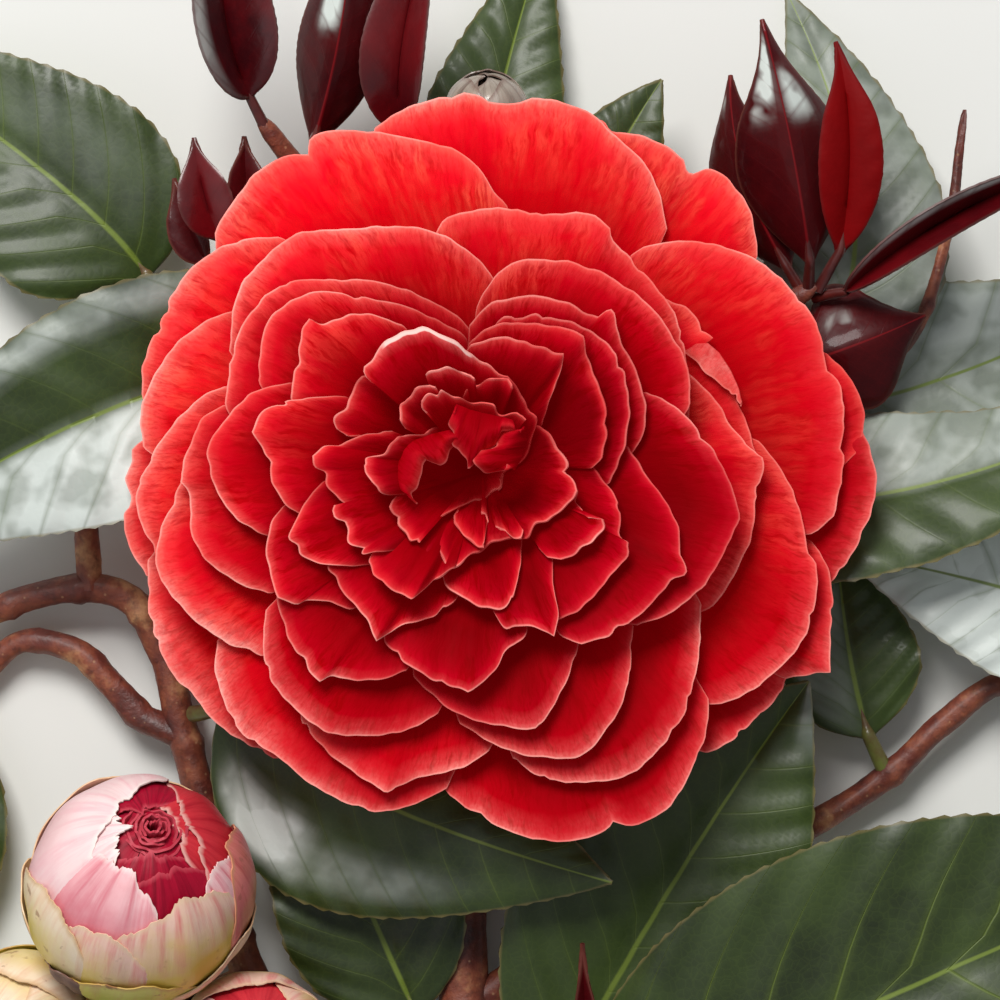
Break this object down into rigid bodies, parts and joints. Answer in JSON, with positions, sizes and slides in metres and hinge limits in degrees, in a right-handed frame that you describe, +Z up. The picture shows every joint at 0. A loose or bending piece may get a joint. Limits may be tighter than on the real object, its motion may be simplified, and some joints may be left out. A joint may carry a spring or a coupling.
{
  "type": "cut camellia spray",
  "caption": "Cut camellia spray lying flat: an open double bloom that faces up, flower buds, leathery green leaves and glossy young shoots on a forked woody stem.",
  "frame": {"origin": "centre of the box of the whole spray, on the level surface that it lies on", "axes": "+Z up, out of the open bloom's face; +Y from the cut end of the stem towards the young shoots; +X to the right, looked at from above"},
  "size_m": [0.2162, 0.178, 0.044],
  "materials": {
    "petal": "velvety matt red petals with paler rims",
    "green_leaf": "leathery dark green with a waxy gloss",
    "young_leaf": "very glossy dark maroon",
    "bark": "reddish brown bark, dull",
    "bud_scale": "satin cream and pink bud scales"
  },
  "bodies": {
    "root": {"main_stem": "bark", "left_twig": "bark", "left_fork_upper": "bark", "left_fork_lower": "bark", "left_riser": "bark", "right_twig": "bark", "left_shoot_stem": "bark", "left_shoot_spur": "bark", "right_shoot_stem": "bark", "far_shoot": "bark", "top_bud_stalk": "bark", "main_bud_stalk": "bark", "left_bud_stalk": "bark", "right_bud_stalk": "bark", "main_bud": "bud_scale", "left_bud": "bud_scale", "right_bud": "bud_scale", "top_bud": "bud_scale", "calyx": "bud_scale", "bloom": "petal", "leaf_lower_right": "green_leaf", "leaf_front_right": "green_leaf", "leaf_under_bloom": "green_leaf", "leaf_bottom_dark": "green_leaf", "leaf_left": "green_leaf", "leaf_left_back": "green_leaf", "leaf_right_upper": "green_leaf", "leaf_right_middle": "green_leaf", "leaf_right_lower": "green_leaf", "leaf_right_back": "green_leaf", "leaf_top_right_back": "green_leaf", "leaf_top": "green_leaf", "leaf_top_small": "green_leaf", "leaf_far_left_upper": "green_leaf", "leaf_far_left_lower": "green_leaf", "leaf_below_buds": "green_leaf", "leaf_far_right": "green_leaf", "left_young_leaf_outer": "young_leaf", "left_young_leaf_middle": "young_leaf", "left_young_leaf_inner": "young_leaf", "left_bract_long": "young_leaf", "left_bract_low": "young_leaf", "left_bract_high": "young_leaf", "right_young_leaf_left": "young_leaf", "right_young_leaf_tall": "young_leaf", "right_young_leaf_crimson": "young_leaf", "right_young_leaf_arched": "young_leaf", "right_young_leaf_drooping": "young_leaf", "lower_young_spike": "young_leaf"}
  },
  "joints": []
}
